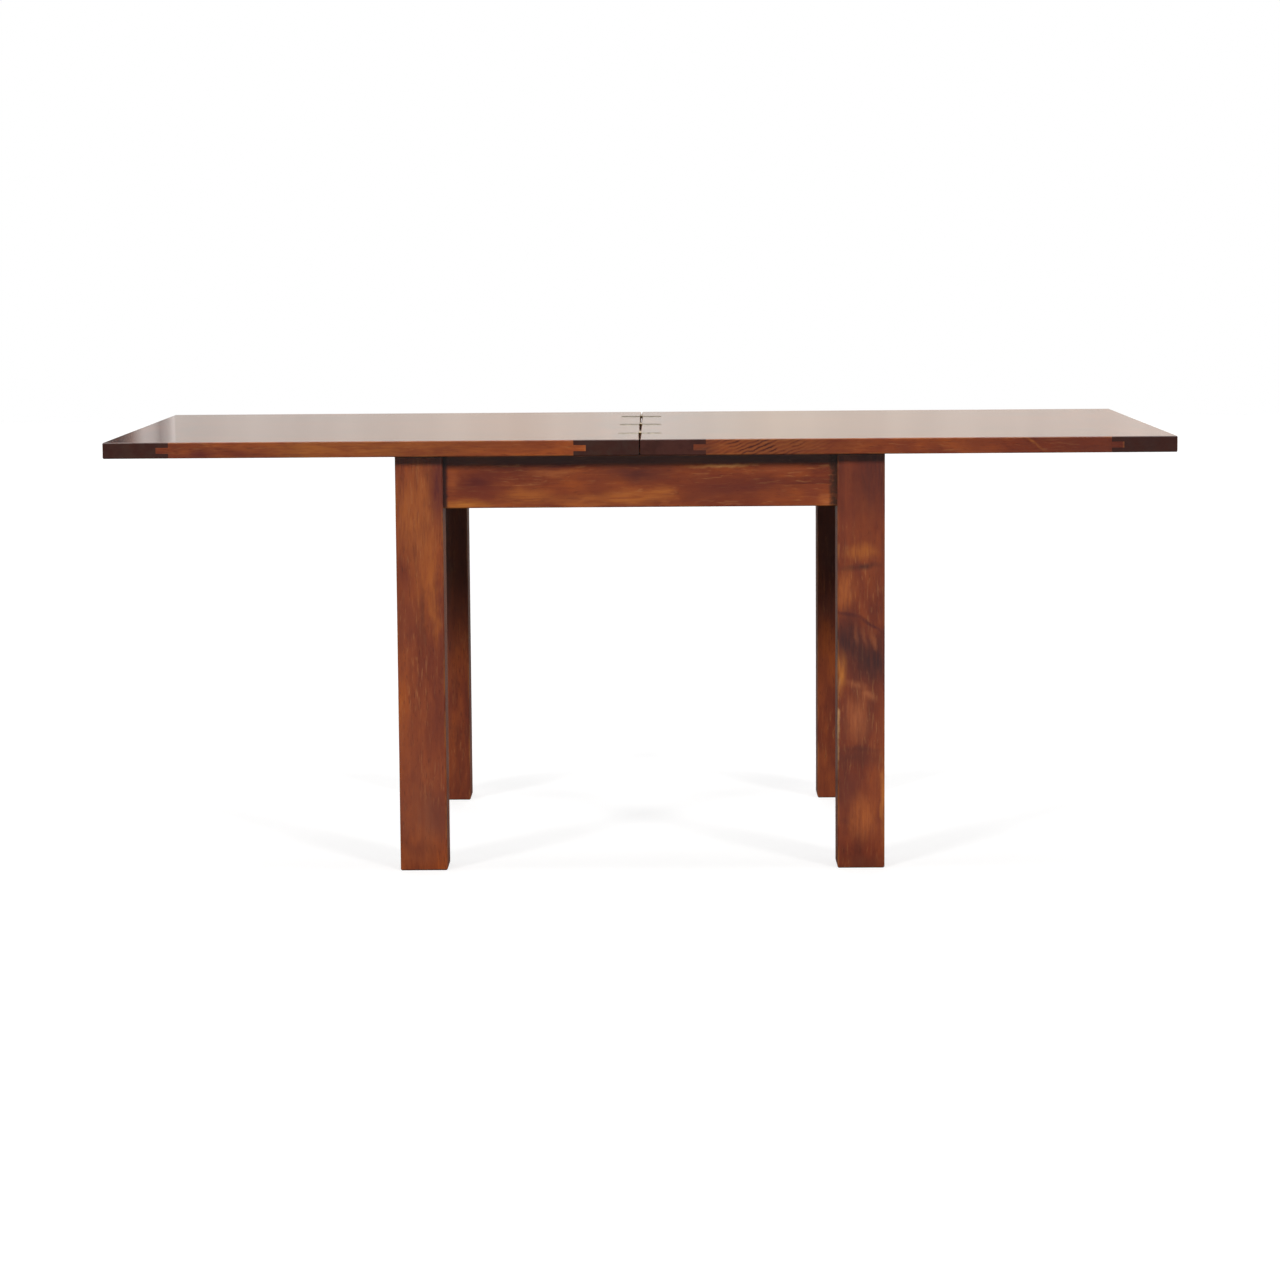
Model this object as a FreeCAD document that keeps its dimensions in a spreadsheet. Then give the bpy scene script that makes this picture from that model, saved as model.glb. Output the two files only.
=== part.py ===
import FreeCAD, Part
import math
import os
import re

import Sketcher
from FreeCAD import Placement, Rotation, Vector

# A butterfly extension table in solid wood, modelled open, in millimetres.
# A square base with four posts carries two square leaves hinged edge to edge.
# The right leaf folds over onto the left one, and the pair then slides to the
# right on runners until it is centred on the base, which halves the table.
# +Z is up, +X runs to the right along the table, and the front is at -Y.
# The origin is on the floor, under the middle of the open table.

SIZES = {
    # the two leaves
    "table_height": 736,
    "table_depth": 900,
    "leaf_length": 899,
    "leaf_thickness": 27,
    "seam_gap": 2,
    "edge_bevel_width": 1.5,
    "board_count": 7,
    "cleat_width": 110,
    "tongue_length": 21,
    "tongue_thickness": 10,
    "tongue_cover_depth": 9,
    # posts and aprons
    "end_overhang_length": 36.5,
    "side_overhang_depth": 35,
    "leg_width": 80,
    "leg_bevel_width": 2,
    "apron_thickness": 25,
    "apron_height": 88,
    "apron_inset_depth": 12,
    "apron_bevel_width": 1.5,
    "tenon_length": 35,
    "tenon_thickness": 10,
    "tenon_shoulder_height": 12,
    "mortise_gap": 1,
    # felt strips that the leaves glide on
    "glide_gap": 0.3,
    "glide_thickness": 2,
    "glide_width": 18,
    "glide_end_gap": 8,
    # braces across the corners of the aprons
    "brace_height": 34,
    "brace_thickness": 24,
    "brace_lift_height": 5,
    "brace_seat_depth": 11,
    # grooved guide rails and the runners that slide in them
    "guide_height": 45,
    "groove_cover_height": 20,
    "groove_height": 12,
    "groove_depth": 12,
    "runner_width": 40,
    "runner_height": 36,
    "runner_gap": 3,
    "slide_clearance": 0.4,
    "stop_gap": 0.4,
    # flush hinges across the seam
    "hinge_count": 3,
    "hinge_span_length": 540,
    "hinge_length": 50,
    "plate_length": 37,
    "plate_thickness": 2,
    "plate_corner_width": 5,
    "barrel_radius": 2.6,
    "barrel_gap": 0.5,
    "pin_radius": 1.2,
    "pin_clearance": 0.05,
    "pin_rise_height": 0.5,
    "knuckle_gap": 0.3,
    # countersunk wood screws
    "screw_radius": 2,
    "screw_head_radius": 4,
    "screw_bite_length": 15,
    "runner_counterbore_depth": 18,
    "hinge_screw_radius": 1.6,
    "hinge_screw_head_radius": 3.2,
    "hinge_screw_length": 14,
}

# places of the screws, as shares of the piece that they go through
RAIL_SCREW_SHARES = (-0.42, -0.14, 0.14, 0.42)
RUNNER_SCREW_SHARES = (-0.28, 0, 0.28)
HINGE_SCREW_SHARES = ((0.4, -0.3), (0.4, 0.3), (0.76, 0))

# flats round each small screw, and round each small hinge barrel and its bore
SCREW_SIDES = 8
BARREL_SIDES = 16

# how far apart two coordinates may be and still count as the same
TOUCH = 0.001

# formulas of the driving sizes that more than one piece is worked out from
LEAF_CENTRE = "(leaf_length + seam_gap) / 2"
SHOULDER = "(leaf_length / 2 - cleat_width)"
BOARD_WIDTH = "table_depth / board_count"
BASE_LENGTH = "(leaf_length - 2 * end_overhang_length)"
BASE_DEPTH = "(table_depth - 2 * side_overhang_depth)"
LEG_TOP = "(table_height - leaf_thickness - glide_gap - glide_thickness)"
APRON_BOTTOM = f"({LEG_TOP} - apron_height)"
LEG_INNER_X = f"({BASE_LENGTH} / 2 - leg_width)"
LEG_INNER_Y = f"({BASE_DEPTH} / 2 - leg_width)"
APRON_INNER_X = f"({BASE_LENGTH} / 2 - apron_inset_depth - apron_thickness)"
APRON_INNER_Y = f"({BASE_DEPTH} / 2 - apron_inset_depth - apron_thickness)"
LEG_STEP = "(leg_width - apron_inset_depth - apron_thickness)"
TENON_SETBACK = "(apron_inset_depth + (apron_thickness - tenon_thickness) / 2)"
SLIDE_TRAVEL = f"({LEAF_CENTRE})"
RUNNER_LENGTH = f"(2 * {APRON_INNER_X} - {SLIDE_TRAVEL} - 2 * stop_gap)"
PIN_HEIGHT = "(table_height + pin_rise_height)"
PLATE_START = "(barrel_radius + knuckle_gap)"
KNUCKLE_LENGTH = "((hinge_length - 2 * knuckle_gap) / 3)"
FLATS_TO_CORNERS = f"cos(180 / {BARREL_SIDES})"

doc = FreeCAD.newDocument("extension_table")
sheet = doc.addObject("Spreadsheet::Sheet", "size")
for row, (name, number) in enumerate(SIZES.items(), 1):
    sheet.set(f"A{row}", name)
    sheet.set(f"B{row}", str(number))
    sheet.setAlias(f"B{row}", name)
doc.recompute()

SIZE_NAMES = re.compile(r"\b(" + "|".join(SIZES) + r")\b")
NODES = []


def formula(text):
    """A formula of size names, as an expression that reads the sheet's cells."""
    return SIZE_NAMES.sub(r"size.\1", str(text))


def value(text):
    """The number that a formula of size names gives now."""
    return float(sheet.evalExpression(formula(text)))


def bind(thing, **formulas):
    """Bind properties of an object to formulas of size names."""
    for name, text in formulas.items():
        thing.setExpression(name, formula(text))


def place(thing, across="0", back="0", up="0", turn=0):
    """Stand a piece at a place given by formulas, turned about +Z by so many degrees."""
    thing.Placement = Placement(Vector(), Rotation(Vector(0, 0, 1), turn))
    for axis, text in zip("xyz", (across, back, up)):
        thing.setExpression(f"Placement.Base.{axis}", formula(text))


def node(thing, label):
    """Name a finished piece and put it on the list of those that are written out."""
    thing.Label = label
    NODES.append(thing)
    return thing


def new_body(label):
    return doc.addObject("PartDesign::Body", label)


def outline(body, plane, points, name):
    """Closed outline of straight lines, each corner held by two dimensions from the origin."""
    sketch = body.newObject("Sketcher::SketchObject", name)
    support = next(part for part in body.Origin.OriginFeatures if part.Role == plane)
    sketch.AttachmentSupport = [(support, "")]
    sketch.MapMode = "FlatFace"
    corners = [Vector(value(across), value(along), 0) for across, along in points]
    sketch.addGeometry([
        Part.LineSegment(start, end) for start, end in zip(corners, corners[1:] + corners[:1])
    ])
    count = len(corners)
    sketch.addConstraint([
        Sketcher.Constraint("Coincident", line, 2, (line + 1) % count, 1) for line in range(count)
    ])
    for line, (point, corner) in enumerate(zip(points, corners)):
        for kind, text, distance in zip(("DistanceX", "DistanceY"), point, corner):
            index = sketch.addConstraint(Sketcher.Constraint(kind, -1, 1, line, 1, distance))
            sketch.setExpression(f"Constraints[{index}]", formula(text))
    return sketch


def pad(body, sketch, length, name, midplane=False, reversed_pad=False):
    feature = body.newObject("PartDesign::Pad", name)
    feature.Profile = sketch
    feature.Midplane = midplane
    feature.Reversed = reversed_pad
    bind(feature, Length=length)
    return feature


def box(body, kind, name, corner, size):
    """A box added to or cut from a body, by its lowest corner and its three sides."""
    feature = body.newObject(f"PartDesign::{kind}Box", name)
    place(feature, *corner)
    bind(feature, Length=size[0], Width=size[1], Height=size[2])
    return feature


def lay_along_y(thing):
    """Turn an upright piece, already placed, so that its height runs along +Y."""
    thing.Placement.Rotation = Rotation(Vector(0, 0, 1), Vector(0, 1, 0))


def bar_along_y(body, kind, name, start, radius, length):
    """A bar or bore along +Y, round but for narrow flats; the radius is that of its corners."""
    feature = body.newObject(f"PartDesign::{kind}Prism", name)
    feature.Polygon = BARREL_SIDES
    place(feature, *start)
    lay_along_y(feature)
    bind(feature, Circumradius=radius, Height=length)


def bevel_edges(body, width, chosen):
    """Bevel the edges of a body that a test picks out by their boxes."""
    doc.recompute()
    base = body.Tip
    names = [f"Edge{index}" for index, edge in enumerate(base.Shape.Edges, 1) if chosen(edge.BoundBox)]
    feature = body.newObject("PartDesign::Chamfer", "arris")
    feature.Base = (base, names)
    bind(feature, Size=width)


def same(first, second):
    return abs(first - second) < TOUCH


def screw(radius, head_radius, length, access):
    """A countersunk screw pointing down, its head's rim at the origin, under an access bore."""
    rims = [(head_radius, access)] if access else []
    rims += [(head_radius, 0), (radius, radius - head_radius), (radius, 2 * radius - length)]
    turns = [2 * math.pi * side / SCREW_SIDES for side in range(SCREW_SIDES + 1)]
    rings = [
        [Vector(size * math.cos(turn), size * math.sin(turn), level) for turn in turns]
        for size, level in rims
    ]
    panels = [rings[0]]
    for side in range(SCREW_SIDES):
        for upper, lower in zip(rings, rings[1:]):
            panels.append([upper[side], lower[side], lower[side + 1], upper[side + 1], upper[side]])
        near, far = rings[-1][side], rings[-1][side + 1]
        panels.append([near, Vector(0, 0, -length), far, near])
    faces = [Part.Face(Part.makePolygon(panel)) for panel in panels]
    return Part.makeSolid(Part.makeShell(faces))


def screw_group(label, seats, radius, head_radius, length, access=0):
    """Alike screws in one node, and the drill that opens their holes and access bores.

    Each seat is the place of a head's rim and the way that its screw points.
    """
    made = []
    for name, reach in ((label, 0), (f"{label}_drill", access)):
        solid = screw(radius, head_radius, length, reach)
        placed = []
        for point, way in seats:
            copy = solid.copy()
            copy.Placement = Placement(point, Rotation(Vector(0, 0, -1), way))
            placed.append(copy)
        group = doc.addObject("Part::Feature", name)
        group.Shape = Part.makeCompound(placed)
        made.append(group)
    node(made[0], label)
    return made[1]


def drilled(label, blank, *drills):
    """A wooden or brass blank with the holes that its screws fill."""
    blank.Label = f"{label}_blank"
    for index, drill in enumerate(drills):
        cut = doc.addObject("Part::Cut", f"{label}_holes_{index}")
        cut.Base = blank
        cut.Tool = drill
        blank = cut
    return node(blank, label)


# Corners of the base, each with its signs along X and Y and the turn that puts
# the front left piece there.
CORNERS = (
    ("front_left", -1, -1, 0),
    ("front_right", 1, -1, 90),
    ("back_right", 1, 1, 180),
    ("back_left", -1, 1, 270),
)


def leg(label):
    """A square post on its outer corner, with a mortise in each of its two inner faces."""
    body = new_body(label)
    square = (("0", "0"), ("leg_width", "0"), ("leg_width", "leg_width"), ("0", "leg_width"))
    pad(body, outline(body, "XY_Plane", square, "section"), LEG_TOP, "post")
    top = value(LEG_TOP)
    bevel_edges(body, "leg_bevel_width", lambda edge: not same(edge.ZMin, top))
    depth = "tenon_length + mortise_gap"
    start = "leg_width - tenon_length - mortise_gap"
    bottom = f"{APRON_BOTTOM} + tenon_shoulder_height"
    height = "apron_height - 2 * tenon_shoulder_height"
    width = "tenon_thickness"
    box(body, "Subtractive", "side_mortise", (start, TENON_SETBACK, bottom), (depth, width, height))
    box(body, "Subtractive", "back_mortise", (TENON_SETBACK, start, bottom), (width, depth, height))
    return body


def apron(label, span):
    """A rail between two posts, its outer face at y = 0, with a tenon at each end."""
    body = new_body(label)
    face = (
        (f"-{span}", "0"),
        (span, "0"),
        (span, "apron_height"),
        (f"-{span}", "apron_height"),
    )
    pad(body, outline(body, "XZ_Plane", face, "face"), "apron_thickness", "board", reversed_pad=True)
    bevel_edges(body, "apron_bevel_width", lambda edge: same(edge.ZMax, 0) and edge.XLength > edge.YLength)
    box(
        body,
        "Additive",
        "tenons",
        (f"-{span} - tenon_length", "(apron_thickness - tenon_thickness) / 2", "tenon_shoulder_height"),
        (f"2 * ({span} + tenon_length)", "tenon_thickness", "apron_height - 2 * tenon_shoulder_height"),
    )
    return body


def corner_brace(label):
    """A strip across the corner of two aprons, its mitred ends flat on their inner faces."""
    body = new_body(label)
    near = f"2 * {LEG_STEP}"
    far = f"2 * {LEG_STEP} + sqrt(2) * brace_thickness"
    strip = ((near, "0"), (far, "0"), ("0", far), ("0", near))
    pad(body, outline(body, "XY_Plane", strip, "section"), "brace_height", "strip")
    return body


def brace_screw_seats():
    """Two screws in each brace, each square to the apron that it goes into."""
    along = value(f"2 * {LEG_STEP} + brace_thickness / sqrt(2)")
    seat = value("brace_seat_depth")
    up = value(f"{APRON_BOTTOM} + brace_lift_height + brace_height / 2")
    seats = []
    for _, side, end, _ in CORNERS:
        corner_x = side * value(APRON_INNER_X)
        corner_y = end * value(APRON_INNER_Y)
        seats.append((Vector(corner_x - side * along, corner_y - end * seat, up), Vector(0, end, 0)))
        seats.append((Vector(corner_x - side * seat, corner_y - end * along, up), Vector(side, 0, 0)))
    return seats


def guide_rail(label):
    """A rail that fills the step between apron and posts, with a groove in its inner face."""
    body = new_body(label)
    floor = "-groove_cover_height - groove_height"
    section = (
        ("0", "0"),
        (LEG_STEP, "0"),
        (LEG_STEP, "-groove_cover_height"),
        (f"{LEG_STEP} - groove_depth", "-groove_cover_height"),
        (f"{LEG_STEP} - groove_depth", floor),
        (LEG_STEP, floor),
        (LEG_STEP, "-guide_height"),
        ("0", "-guide_height"),
    )
    pad(body, outline(body, "YZ_Plane", section, "section"), f"2 * {LEG_INNER_X}", "rail", midplane=True)
    return body


def rail_screw_seats():
    """Screws in the land under each groove, through the rail and into the apron."""
    up = value(f"{LEG_TOP} - (groove_cover_height + groove_height + guide_height) / 2")
    return [
        (Vector(share * value(f"2 * {LEG_INNER_X}"), end * value(LEG_INNER_Y), up), Vector(0, end, 0))
        for end in (-1, 1)
        for share in RAIL_SCREW_SHARES
    ]


def runner(label):
    """A batten under the left leaf, with a tongue on its +Y face that rides in a guide groove.

    The batten's ends meet the side aprons at both ends of the slide, which stops the leaves.
    """
    body = new_body(label)
    top = "(-glide_gap - glide_thickness - groove_cover_height - slide_clearance)"
    floor = f"({top} - groove_height + 2 * slide_clearance)"
    reach = "(runner_gap + groove_depth - slide_clearance)"
    section = (
        ("-runner_width", "0"),
        ("0", "0"),
        ("0", top),
        (reach, top),
        (reach, floor),
        ("0", floor),
        ("0", "-runner_height"),
        ("-runner_width", "-runner_height"),
    )
    pad(body, outline(body, "YZ_Plane", section, "section"), RUNNER_LENGTH, "batten", midplane=True)
    trim = f"({APRON_INNER_X} - {LEG_INNER_X})"
    left = f"-{RUNNER_LENGTH} / 2"
    right = f"{RUNNER_LENGTH} / 2 - {trim}"
    for name, start in (("left_trim", left), ("right_trim", right)):
        box(body, "Subtractive", name, (start, "0", floor), (trim, reach, f"{top} - {floor}"))
    return body


def runner_screw_seats():
    """Screws up through each runner, out of a counterbore and into the leaf."""
    along = value(f"{LEG_INNER_Y} - runner_gap - runner_width / 2")
    up = value("table_height - leaf_thickness - runner_height + runner_counterbore_depth")
    length = value(RUNNER_LENGTH)
    centre = -value(SLIDE_TRAVEL) / 2
    return [
        (Vector(centre + share * length, end * along, up), Vector(0, 0, 1))
        for end in (-1, 1)
        for share in RUNNER_SCREW_SHARES
    ]


def leaf_board(label, open_edge):
    """One board of a leaf, with a tongue at each end; an outside board has its edge bevelled."""
    body = new_body(label)
    tip = f"({SHOULDER} + tongue_length)"
    top = "-tongue_cover_depth"
    floor = "-tongue_cover_depth - tongue_thickness"
    half = (
        (SHOULDER, "0"),
        (SHOULDER, top),
        (tip, top),
        (tip, floor),
        (SHOULDER, floor),
        (SHOULDER, "-leaf_thickness"),
    )
    mirrored = tuple((f"-{across}", up) for across, up in reversed(half))
    pad(body, outline(body, "XZ_Plane", half + mirrored, "profile"), BOARD_WIDTH, "board", midplane=True)
    if open_edge:
        edge_y = open_edge * value(BOARD_WIDTH) / 2
        levels = (0, -value("leaf_thickness"))
        bevel_edges(body, "edge_bevel_width", lambda edge: (
            edge.XLength > edge.ZLength
            and edge.YLength < TOUCH
            and same(edge.YMin, edge_y)
            and any(same(edge.ZMin, level) and same(edge.ZMax, level) for level in levels)
        ))
    return body


def cleat(label, seam):
    """A breadboard end, its shoulder at x = 0, with a through groove for the boards' tongues.

    The cleat on the seam has a recess for each hinge plate and room for its barrel.
    """
    body = new_body(label)
    floor = "-tongue_cover_depth - tongue_thickness"
    section = (
        ("0", "0"),
        ("cleat_width", "0"),
        ("cleat_width", "-leaf_thickness"),
        ("0", "-leaf_thickness"),
        ("0", floor),
        ("tongue_length", floor),
        ("tongue_length", "-tongue_cover_depth"),
        ("0", "-tongue_cover_depth"),
    )
    pad(body, outline(body, "XZ_Plane", section, "section"), "table_depth", "cleat", midplane=True)
    width = value("cleat_width")
    end = value("table_depth / 2")
    levels = (0, -value("leaf_thickness"))

    def outside(edge):
        level = any(same(edge.ZMin, height) and same(edge.ZMax, height) for height in levels)
        long_side = same(edge.XMin, width) and edge.YLength > edge.XLength
        short_side = edge.YLength < TOUCH and same(abs(edge.YMin), end) and edge.XMax > TOUCH
        upright = same(edge.XMin, width) and edge.ZLength > edge.YLength
        return (level and (long_side or short_side)) or (upright and not seam)

    bevel_edges(body, "edge_bevel_width", outside)
    if seam:
        hinge_recesses(body)
    return body


def hinge_recesses(body):
    """A recess for each hinge plate along a seam edge, and room for its barrel."""
    axis = "(cleat_width + seam_gap / 2)"
    start = f"({axis} - plate_length)"
    side = "hinge_length / 2"
    for spot, middle in hinge_places():
        recess = (
            (start, f"{middle} - {side} + plate_corner_width"),
            (f"{start} + plate_corner_width", f"{middle} - {side}"),
            (axis, f"{middle} - {side}"),
            (axis, f"{middle} + {side}"),
            (f"{start} + plate_corner_width", f"{middle} + {side}"),
            (start, f"{middle} + {side} - plate_corner_width"),
        )
        pocket = body.newObject("PartDesign::Pocket", f"plate_recess_{spot}")
        pocket.Profile = outline(body, "XY_Plane", recess, f"recess_outline_{spot}")
        bind(pocket, Length="plate_thickness")
        bar_along_y(
            body,
            "Subtractive",
            f"barrel_relief_{spot}",
            (axis, f"{middle} - {side} - barrel_gap", "pin_rise_height"),
            "barrel_radius + barrel_gap",
            "hinge_length + 2 * barrel_gap",
        )


def hinge_plate(label, knuckles, bore):
    """A brass plate to the left of its pin, which lies along Y through the origin.

    Its top is flush with the leaf, a little under the pin. It carries some of the three
    knuckles, which are numbered from the front.
    """
    body = new_body(label)
    side = "hinge_length / 2"
    tab = (
        ("-plate_length", f"-{side} + plate_corner_width"),
        ("-plate_length + plate_corner_width", f"-{side}"),
        (f"-{PLATE_START}", f"-{side}"),
        (f"-{PLATE_START}", side),
        ("-plate_length + plate_corner_width", side),
        ("-plate_length", f"{side} - plate_corner_width"),
    )
    sketch = outline(body, "XY_Plane", tab, "plate_outline")
    sketch.setExpression("AttachmentOffset.Base.z", formula("-pin_rise_height - plate_thickness"))
    pad(body, sketch, "plate_thickness", "plate")
    for knuckle in knuckles:
        start = f"-{side} + {knuckle} * ({KNUCKLE_LENGTH} + knuckle_gap)"
        box(
            body,
            "Additive",
            f"strap_{knuckle}",
            (f"-{PLATE_START}", start, "-pin_rise_height - plate_thickness"),
            (PLATE_START, KNUCKLE_LENGTH, "plate_thickness"),
        )
        bar_along_y(
            body, "Additive", f"barrel_{knuckle}", ("0", start, "0"), "barrel_radius", KNUCKLE_LENGTH
        )
    bore_corners = f"({bore}) / {FLATS_TO_CORNERS}"
    bar_along_y(body, "Subtractive", "pin_bore", ("0", f"-{side}", "0"), bore_corners, "hinge_length")
    return body


def hinge_places():
    count = int(value("hinge_count"))
    names = ["front", "middle", "back"] if count == 3 else [str(index + 1) for index in range(count)]
    return [
        (name, f"hinge_span_length * ({index} / (hinge_count - 1) - 1 / 2)")
        for index, name in enumerate(names)
    ]


def hinge_screw_seats(side):
    """Screws down through the hinge plates on one side of the seam, flush with the leaf."""
    reach = value("plate_length")
    length = value("hinge_length")
    up = value("table_height")
    return [
        (Vector(side * out * reach, value(back) + along * length, up), Vector(0, 0, -1))
        for _, back in hinge_places()
        for out, along in HINGE_SCREW_SHARES
    ]


def build_base():
    """Posts, aprons, braces, guide rails and felt strips: everything that stays put."""
    brace_access = value(f"2 * {LEG_STEP}")
    screw_sizes = (value("screw_radius"), value("screw_head_radius"))
    brace_drill = screw_group(
        "corner_brace_screws",
        brace_screw_seats(),
        *screw_sizes,
        value("brace_seat_depth + screw_bite_length"),
        brace_access,
    )
    rail_drill = screw_group(
        "guide_rail_screws",
        rail_screw_seats(),
        *screw_sizes,
        value(f"{LEG_STEP} + screw_bite_length"),
    )
    for corner, side, end, turn in CORNERS:
        post = node(leg(f"leg_{corner}"), f"leg_{corner}")
        place(post, f"{side} * {BASE_LENGTH} / 2", f"{end} * {BASE_DEPTH} / 2", turn=turn)
        brace = corner_brace(f"corner_brace_{corner}")
        place(
            brace,
            f"{side} * {APRON_INNER_X}",
            f"{end} * {APRON_INNER_Y}",
            f"{APRON_BOTTOM} + brace_lift_height",
            turn,
        )
        drilled(f"corner_brace_{corner}", brace, brace_drill)
    for name, end, turn in (("front", -1, 0), ("back", 1, 180)):
        long_apron = apron(f"apron_{name}", LEG_INNER_X)
        place(long_apron, "0", f"{end} * ({BASE_DEPTH} / 2 - apron_inset_depth)", APRON_BOTTOM, turn)
        drilled(f"apron_{name}", long_apron, brace_drill, rail_drill)
        rail = guide_rail(f"guide_rail_{name}")
        place(rail, "0", f"{end} * {APRON_INNER_Y}", LEG_TOP, turn)
        drilled(f"guide_rail_{name}", rail, rail_drill)
        strip = node(doc.addObject("Part::Box", f"glide_strip_{name}"), f"glide_strip_{name}")
        length = f"{BASE_LENGTH} - 2 * glide_end_gap"
        bind(strip, Length=length, Width="glide_width", Height="glide_thickness")
        middle = f"{end} * ({BASE_DEPTH} / 2 - apron_inset_depth - apron_thickness / 2)"
        place(strip, f"glide_end_gap - {BASE_LENGTH} / 2", f"{middle} - glide_width / 2", LEG_TOP)
    for name, side, turn in (("left", -1, 270), ("right", 1, 90)):
        side_apron = apron(f"apron_{name}", LEG_INNER_Y)
        place(side_apron, f"{side} * ({BASE_LENGTH} / 2 - apron_inset_depth)", "0", APRON_BOTTOM, turn)
        drilled(f"apron_{name}", side_apron, brace_drill)


def build_leaf(name, side, drills):
    """The boards and both cleats of one leaf, on one side of the seam."""
    boards = int(value("board_count"))
    for index in range(boards):
        label = f"{name}_leaf_board_{index + 1}"
        open_edge = {0: -1, boards - 1: 1}.get(index, 0)
        board = leaf_board(label, open_edge)
        place(
            board,
            f"{side} * {LEAF_CENTRE}",
            f"{BOARD_WIDTH} * ({index} + 1 / 2) - table_depth / 2",
            "table_height",
        )
        if drills:
            drilled(label, board, *drills)
        else:
            node(board, label)
    for part, way in (("inner", -side), ("outer", side)):
        label = f"{name}_leaf_{part}_cleat"
        end = cleat(label, part == "inner")
        turn = 0 if way > 0 else 180
        place(end, f"{side} * {LEAF_CENTRE} + {way} * {SHOULDER}", "0", "table_height", turn)
        if part == "inner":
            hinge_drill = hinge_screws(name, side)
            drilled(label, end, hinge_drill, *drills)
            build_hinge_plates(name, side, hinge_drill)
        else:
            node(end, label)


def hinge_screws(name, side):
    return screw_group(
        f"{name}_hinge_screws",
        hinge_screw_seats(side),
        value("hinge_screw_radius"),
        value("hinge_screw_head_radius"),
        value("hinge_screw_length"),
    )


def build_hinge_plates(name, side, drill):
    """The left plates have the two outer knuckles and grip the pins; the right plates turn."""
    if side < 0:
        knuckles, bore, turn = (0, 2), "pin_radius", 0
    else:
        knuckles, bore, turn = (1,), "pin_radius + pin_clearance", 180
    for spot, back in hinge_places():
        label = f"{name}_hinge_plate_{spot}"
        plate = hinge_plate(label, knuckles, bore)
        place(plate, "0", back, PIN_HEIGHT, turn)
        drilled(label, plate, drill)


def build_pins():
    for spot, back in hinge_places():
        pin = node(doc.addObject("Part::Cylinder", f"hinge_pin_{spot}"), f"hinge_pin_{spot}")
        bind(pin, Radius="pin_radius", Height="hinge_length")
        place(pin, "0", f"{back} - hinge_length / 2", PIN_HEIGHT)
        lay_along_y(pin)


def build_runners():
    """The two battens screwed under the left leaf; returns the drill of their screws."""
    drill = screw_group(
        "runner_screws",
        runner_screw_seats(),
        value("screw_radius"),
        value("screw_head_radius"),
        value("runner_height - runner_counterbore_depth + screw_bite_length"),
        value("runner_counterbore_depth"),
    )
    for name, end, turn in (("front", -1, 180), ("back", 1, 0)):
        batten = runner(f"runner_{name}")
        place(
            batten,
            f"-{SLIDE_TRAVEL} / 2",
            f"{end} * ({LEG_INNER_Y} - runner_gap)",
            "table_height - leaf_thickness",
            turn,
        )
        drilled(f"runner_{name}", batten, drill)
    return drill


def check_document():
    """Stop if any object failed, or if a finished piece has no valid shape."""
    doc.recompute()
    for thing in doc.Objects:
        if {"Invalid", "Error"} & set(thing.State):
            raise RuntimeError(f"{thing.Label} failed: {thing.State}")
    for thing in NODES:
        if thing.Shape.isNull() or not thing.Shape.isValid():
            raise RuntimeError(f"{thing.Label} has no valid shape")


build_base()
runner_drill = build_runners()
build_leaf("left", -1, [runner_drill])
build_pins()
build_leaf("right", 1, [])
check_document()

os.makedirs("parts", exist_ok=True)
for piece in NODES:
    piece.Shape.exportStep(f"parts/{piece.Label}.step")
print(f"{len(NODES)} nodes, {sum(len(piece.Shape.Solids) for piece in NODES)} solids")
print(f"slide travel {value(SLIDE_TRAVEL)} mm, pin height {value(PIN_HEIGHT)} mm")
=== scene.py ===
# %% [markdown]
# # A butterfly extension table in chestnut-stained wood
#
# This lesson dresses a finished CAD model of a table in Blender. The shapes come in as a
# fixed frame, so most of the work is in the finishes: stained wood with a rubbed lacquer,
# old brass, steel screws and felt. Only the small metal parts are modelled again, because
# their CAD solids are plainer than the real ones.

# %% Load the frame
import math

import bmesh
import bpy
from mathutils import Matrix, Quaternion, Vector


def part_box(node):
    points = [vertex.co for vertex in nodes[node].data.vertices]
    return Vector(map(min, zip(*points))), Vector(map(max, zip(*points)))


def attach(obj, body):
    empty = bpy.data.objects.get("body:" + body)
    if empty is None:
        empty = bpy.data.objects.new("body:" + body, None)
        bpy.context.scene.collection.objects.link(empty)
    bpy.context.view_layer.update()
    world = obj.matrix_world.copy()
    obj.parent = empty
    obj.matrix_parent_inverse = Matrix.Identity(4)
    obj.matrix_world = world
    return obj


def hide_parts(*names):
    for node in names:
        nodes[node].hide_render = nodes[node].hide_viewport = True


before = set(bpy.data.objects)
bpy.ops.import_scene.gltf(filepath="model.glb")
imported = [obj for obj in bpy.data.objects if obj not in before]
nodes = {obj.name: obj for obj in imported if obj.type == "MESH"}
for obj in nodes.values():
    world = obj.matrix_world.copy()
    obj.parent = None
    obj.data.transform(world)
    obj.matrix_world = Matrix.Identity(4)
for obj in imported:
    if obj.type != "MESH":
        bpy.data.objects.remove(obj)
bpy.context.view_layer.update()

# %% [markdown]
# ## The camera
#
# The photograph was taken with a long lens from a little above the table top, so the top
# shows as a thin sliver. The place, the aim and the lens were worked out from the edges of
# the table in the picture, with the angles in radians. A camera in Blender looks along its
# own -Z with +Y up. Turning it by a track quaternion is easier to read than three angles,
# and a last small turn about its own axis gives the slight tilt that the photograph has.

# %% Camera
STANDPOINT = (0.0309, -6.3457, 1.0838)
ASIDE, DOWN, TILT = -0.0055, 0.1158, -0.0070
FOCAL_PIXELS, FRAME_PIXELS, SENSOR = 3523.74, 1280, 36

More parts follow.
